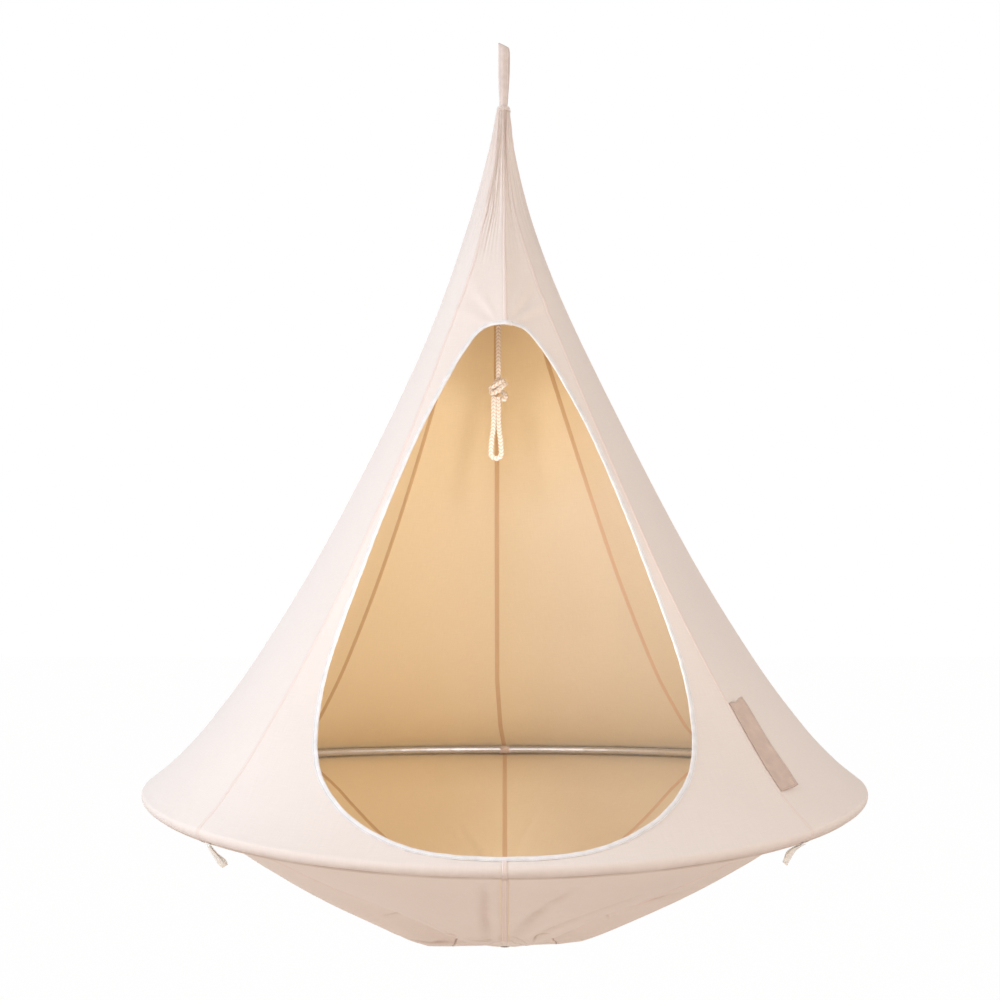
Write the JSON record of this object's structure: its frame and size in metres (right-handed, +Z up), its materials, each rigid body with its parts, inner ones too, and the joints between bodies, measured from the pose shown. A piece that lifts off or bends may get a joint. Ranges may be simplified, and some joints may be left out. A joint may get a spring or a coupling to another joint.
{
  "type": "hanging cocoon tent",
  "caption": "Cloth cone tent that hangs from a loop at its tip, spread by a jointed tube ring, with a door opening, sagging base, grab rope and tie loops.",
  "frame": {"origin": "where the hanging loop bears on its hook: the top of the loop's eye, on the tent's axis", "axes": "+Z up along the hanging axis, -Y towards the door side, +X to the right when looking in through the door"},
  "size_m": [1.5264, 1.5264, 2.0204],
  "materials": {
    "cotton_canvas": "plain-woven cream cotton and polyester canvas, matte, tan where light comes through from inside",
    "white_tape": "white twill binding tape, matte",
    "sheathed_webbing": "webbing sheathed in cream canvas, matte",
    "satin_aluminium": "satin drawn tube",
    "braided_rope": "off-white braided rope, matte",
    "nickel_plate": "nickel-plated pressed eyelet, softly worn",
    "flap_cloth": "taupe woven cloth, bare"
  },
  "bodies": {
    "hanger": {"hanging_loop": "sheathed_webbing"},
    "neck": {"neck_hem": "cotton_canvas"},
    "tent": {"cover_panel_front_right": "cotton_canvas", "cover_panel_right_front": "cotton_canvas", "cover_panel_right_back": "cotton_canvas", "cover_panel_back_right": "cotton_canvas", "cover_panel_back_left": "cotton_canvas", "cover_panel_left_back": "cotton_canvas", "cover_panel_left_front": "cotton_canvas", "cover_panel_front_left": "cotton_canvas", "base_panel_front_right": "cotton_canvas", "base_panel_right_front": "cotton_canvas", "base_panel_right_back": "cotton_canvas", "base_panel_back_right": "cotton_canvas", "base_panel_back_left": "cotton_canvas", "base_panel_left_back": "cotton_canvas", "base_panel_left_front": "cotton_canvas", "base_panel_front_left": "cotton_canvas", "bottom_panel": "cotton_canvas", "door_binding": "white_tape", "drain_eyelet": "nickel_plate", "eyelet_washer": "nickel_plate", "apex_block": "sheathed_webbing", "ring_section_1": "satin_aluminium", "ring_section_2": "satin_aluminium", "ring_section_3": "satin_aluminium", "ring_section_4": "satin_aluminium", "ring_section_5": "satin_aluminium", "ring_section_6": "satin_aluminium", "ring_section_7": "satin_aluminium", "ring_section_8": "satin_aluminium", "ring_spigot_1": "satin_aluminium", "ring_spigot_2": "satin_aluminium", "ring_spigot_3": "satin_aluminium", "ring_spigot_4": "satin_aluminium", "ring_spigot_5": "satin_aluminium", "ring_spigot_6": "satin_aluminium", "ring_spigot_7": "satin_aluminium", "ring_spigot_8": "satin_aluminium", "ring_tab_front": "sheathed_webbing", "ring_tab_front_right": "sheathed_webbing", "ring_tab_right": "sheathed_webbing", "ring_tab_back_right": "sheathed_webbing", "ring_tab_back": "sheathed_webbing", "ring_tab_back_left": "sheathed_webbing", "ring_tab_left": "sheathed_webbing", "ring_tab_front_left": "sheathed_webbing"},
    "rope": {"grab_rope": "braided_rope", "rope_knot": "braided_rope"},
    "hand_loop": {"rope_loop": "braided_rope"},
    "flap": {"label_flap": "flap_cloth"},
    "tie_front_right": {"tie_loop_front_right": "white_tape"},
    "tie_back_right": {"tie_loop_back_right": "white_tape"},
    "tie_back_left": {"tie_loop_back_left": "white_tape"},
    "tie_front_left": {"tie_loop_front_left": "white_tape"}
  },
  "joints": [
    {"name": "tent_swing", "type": "hinge", "parent": "hanger", "child": "neck", "pos_m": [0, 0, -0.137], "axis": [1, 0, 0], "range_deg": [-15, 15]},
    {"name": "tent_sway", "type": "hinge", "parent": "neck", "child": "tent", "pos_m": [0, 0, -0.137], "axis": [0, 1, 0], "range_deg": [-15, 15]},
    {"name": "rope_swing", "type": "hinge", "parent": "tent", "child": "rope", "pos_m": [-0.0145, 0, -0.2303], "axis": [1, 0, 0], "range_deg": [-12, 12]},
    {"name": "hand_loop_swing", "type": "hinge", "parent": "rope", "child": "hand_loop", "pos_m": [-0.0195, 0, -0.827], "axis": [1, 0, 0], "range_deg": [-25, 25]},
    {"name": "flap_lift", "type": "hinge", "parent": "tent", "child": "flap", "pos_m": [0.4439, -0.43775, -1.51112], "axis": [0.4301, -0.4241, -0.797], "range_deg": [0, 120]},
    {"name": "tie_front_right_flex", "type": "hinge", "parent": "tent", "child": "tie_front_right", "pos_m": [0.53528, -0.53528, -1.6865], "axis": [0.7071, 0.7071, 0], "range_deg": [-100, 12], "stiffness_Nm_per_rad": 0.005},
    {"name": "tie_back_right_flex", "type": "hinge", "parent": "tent", "child": "tie_back_right", "pos_m": [0.53528, 0.53528, -1.6865], "axis": [-0.7071, 0.7071, 0], "range_deg": [-100, 12], "stiffness_Nm_per_rad": 0.005},
    {"name": "tie_back_left_flex", "type": "hinge", "parent": "tent", "child": "tie_back_left", "pos_m": [-0.53528, 0.53528, -1.6865], "axis": [-0.7071, -0.7071, 0], "range_deg": [-100, 12], "stiffness_Nm_per_rad": 0.005},
    {"name": "tie_front_left_flex", "type": "hinge", "parent": "tent", "child": "tie_front_left", "pos_m": [-0.53528, -0.53528, -1.6865], "axis": [0.7071, -0.7071, 0], "range_deg": [-100, 12], "stiffness_Nm_per_rad": 0.005}
  ]
}
